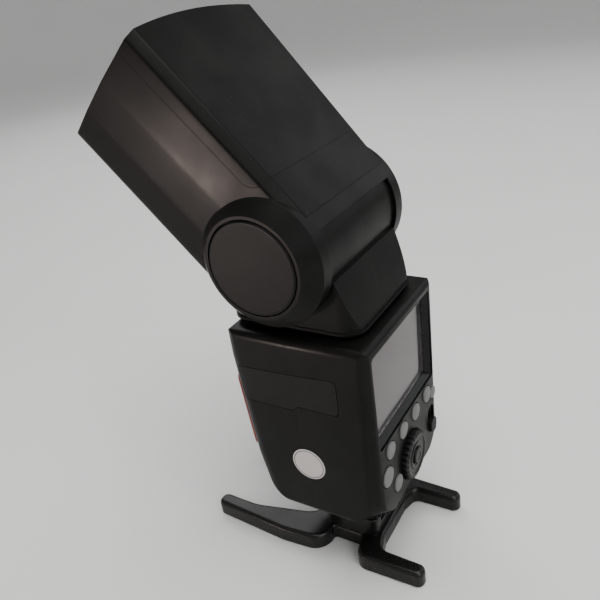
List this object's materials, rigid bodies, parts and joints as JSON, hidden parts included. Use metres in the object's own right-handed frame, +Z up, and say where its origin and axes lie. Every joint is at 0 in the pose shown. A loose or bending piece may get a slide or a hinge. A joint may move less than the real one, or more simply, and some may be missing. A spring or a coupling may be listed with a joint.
{
  "type": "speedlight flash on a mini stand",
  "caption": "Camera-mount speedlight flash with a tilting, swivelling zoom head, rear screen and keys, slide-in battery and a four-legged cold-shoe stand.",
  "frame": {"origin": "mouth of the tripod socket in the stand's underside, which is also the centre of the hot shoe", "axes": "+Z up along the tallest extent, -Y the way the level head fires, +Y the screen side, +X the port-cover side"},
  "size_m": [0.078, 0.1231, 0.2282],
  "materials": {
    "shell_plastic": "satin moulded black",
    "stand_plastic": "smooth moulded black",
    "ring_plastic": "knurled black",
    "key_plastic": "light grey, fine matt",
    "dial_plastic": "dark grey, moulded ribs",
    "red_window": "deep red translucent, smooth",
    "screen_frame": "gloss black",
    "screen_pane": "clear hard-coated",
    "screen_panel": "pale grey liquid-crystal",
    "cover_rubber": "soft matt black",
    "steel": "bright turned",
    "brass": "turned",
    "contact_gold": "gold plated",
    "board": "green solder mask",
    "capacitor_sleeve": "shrunk dark sleeve",
    "winding": "taped yellow-brown winding",
    "inner_plastic": "plain moulded",
    "battery_plastic": "satin moulded black",
    "lens": "clear ribbed lens",
    "panel_clear": "clear frosted diffuser",
    "card_white": "white, flexible",
    "reflector_metal": "bright anodised",
    "tube_glass": "clear"
  },
  "bodies": {
    "stand": {"mini_stand": "stand_plastic", "tripod_insert": "brass", "shoe_spring": "steel"},
    "flash_body": {"foot_plate": "steel", "foot_contacts": "contact_gold", "foot_plinth": "shell_plastic", "plinth_screws": "steel", "lock_pin": "steel", "front_case": "shell_plastic", "rear_case": "shell_plastic", "assist_window": "red_window", "lcd_bezel": "screen_frame", "lcd_window": "screen_pane", "lcd_panel": "screen_panel", "key_domes": "cover_rubber", "port_block": "inner_plastic", "battery_bay": "inner_plastic", "battery_terminals": "contact_gold", "main_board": "board", "main_capacitor": "capacitor_sleeve", "capacitor_clamp": "inner_plastic", "transformer": "winding", "control_board": "board", "swivel_base": "shell_plastic"},
    "lock_ring": {"lock_ring": "ring_plastic"},
    "port_cover": {"port_cover": "cover_rubber"},
    "battery": {"battery_pack": "battery_plastic"},
    "battery_latch": {"battery_latch": "key_plastic"},
    "dial": {"select_dial": "dial_plastic"},
    "set_key": {"set_key": "dial_plastic"},
    "power_switch": {"power_switch": "dial_plastic"},
    "neck": {"swivel_spigot": "steel", "swivel_clip": "steel", "neck_left": "shell_plastic", "neck_right": "shell_plastic", "tilt_axles": "steel", "axle_washers": "steel"},
    "head": {"head_top_cover": "shell_plastic", "head_upper_shell": "shell_plastic", "head_lower_shell": "shell_plastic", "head_screws": "steel", "pivot_caps": "shell_plastic", "fresnel_lens": "lens", "panel_guide": "inner_plastic", "zoom_frame": "inner_plastic", "guide_rods": "steel", "zoom_motor": "steel"},
    "wide_panel": {"wide_panel": "panel_clear"},
    "bounce_card": {"bounce_card": "card_white"},
    "zoom_carriage": {"zoom_carriage": "inner_plastic", "reflector": "reflector_metal", "flash_tube": "tube_glass"},
    "zoom_screw": {"zoom_screw": "steel"},
    "key_1": {"key_1": "key_plastic"},
    "key_2": {"key_2": "key_plastic"},
    "key_3": {"key_3": "key_plastic"},
    "key_4": {"key_4": "key_plastic"},
    "test_key": {"test_key": "key_plastic"},
    "mode_key": {"mode_key": "key_plastic"},
    "lock_key": {"lock_key": "key_plastic"}
  },
  "joints": [
    {"name": "foot_slide", "type": "slide", "parent": "stand", "child": "flash_body", "axis": [0, 1, 0], "range_m": [0, 0.024]},
    {"name": "ring_turn", "type": "hinge", "parent": "flash_body", "child": "lock_ring", "pos_m": [0, 0, 0.021], "axis": [0, 0, 1], "range_deg": [0, 90]},
    {"name": "cover_open", "type": "hinge", "parent": "flash_body", "child": "port_cover", "pos_m": [0.0325, -0.0324, 0.092], "axis": [0, 0, -1], "range_deg": [0, 110]},
    {"name": "battery_slide", "type": "slide", "parent": "flash_body", "child": "battery", "axis": [-1, 0, 0], "range_m": [0, 0.062]},
    {"name": "latch_slide", "type": "slide", "parent": "battery", "child": "battery_latch", "axis": [0, 1, 0], "range_m": [0, 0.003], "stiffness_N_per_m": 300, "springref_m": -0.0005},
    {"name": "dial_turn", "type": "hinge", "parent": "flash_body", "child": "dial", "pos_m": [0, 0.0256, 0.0482], "axis": [0, 1, 0], "continuous": true},
    {"name": "set_press", "type": "slide", "parent": "flash_body", "child": "set_key", "axis": [0, -1, 0], "range_m": [0, 0.0006], "stiffness_N_per_m": 900, "springref_m": -0.0002},
    {"name": "power_slide", "type": "slide", "parent": "flash_body", "child": "power_switch", "axis": [0, 0, 1], "range_m": [0, 0.006]},
    {"name": "swivel", "type": "hinge", "parent": "flash_body", "child": "neck", "pos_m": [0, -0.0085, 0.119], "axis": [0, 0, 1], "range_deg": [-180, 180]},
    {"name": "head_tilt", "type": "hinge", "parent": "neck", "child": "head", "pos_m": [0, -0.0124, 0.1478], "axis": [-1, 0, 0], "range_deg": [-55, 42]},
    {"name": "panel_slide", "type": "slide", "parent": "head", "child": "wide_panel", "axis": [0, -0.6691, 0.7431], "range_m": [0, 0.045]},
    {"name": "card_slide", "type": "slide", "parent": "head", "child": "bounce_card", "axis": [0, -0.6691, 0.7431], "range_m": [0, 0.045]},
    {"name": "zoom_slide", "type": "slide", "parent": "head", "child": "zoom_carriage", "axis": [0, -0.6691, 0.7431], "range_m": [0, 0.014]},
    {"name": "zoom_screw_spin", "type": "hinge", "parent": "head", "child": "zoom_screw", "pos_m": [0.0278, -0.06236, 0.18086], "axis": [0, -0.6691, 0.7431], "range_deg": [-10, 640]},
    {"name": "key_1_press", "type": "slide", "parent": "flash_body", "child": "key_1", "axis": [0, -1, 0], "range_m": [0, 0.0006], "stiffness_N_per_m": 900, "springref_m": -0.0002},
    {"name": "key_2_press", "type": "slide", "parent": "flash_body", "child": "key_2", "axis": [0, -1, 0], "range_m": [0, 0.0006], "stiffness_N_per_m": 900, "springref_m": -0.0002},
    {"name": "key_3_press", "type": "slide", "parent": "flash_body", "child": "key_3", "axis": [0, -1, 0], "range_m": [0, 0.0006], "stiffness_N_per_m": 900, "springref_m": -0.0002},
    {"name": "key_4_press", "type": "slide", "parent": "flash_body", "child": "key_4", "axis": [0, -1, 0], "range_m": [0, 0.0006], "stiffness_N_per_m": 900, "springref_m": -0.0002},
    {"name": "test_key_press", "type": "slide", "parent": "flash_body", "child": "test_key", "axis": [0, -1, 0], "range_m": [0, 0.0006], "stiffness_N_per_m": 900, "springref_m": -0.0002},
    {"name": "mode_key_press", "type": "slide", "parent": "flash_body", "child": "mode_key", "axis": [0, -1, 0], "range_m": [0, 0.0006], "stiffness_N_per_m": 900, "springref_m": -0.0002},
    {"name": "lock_key_press", "type": "slide", "parent": "flash_body", "child": "lock_key", "axis": [0, -1, 0], "range_m": [0, 0.0006], "stiffness_N_per_m": 900, "springref_m": -0.0002}
  ],
  "couplings": [
    {"joint": "zoom_screw_spin", "follows": "zoom_slide", "rad_per_m": 785.4}
  ]
}
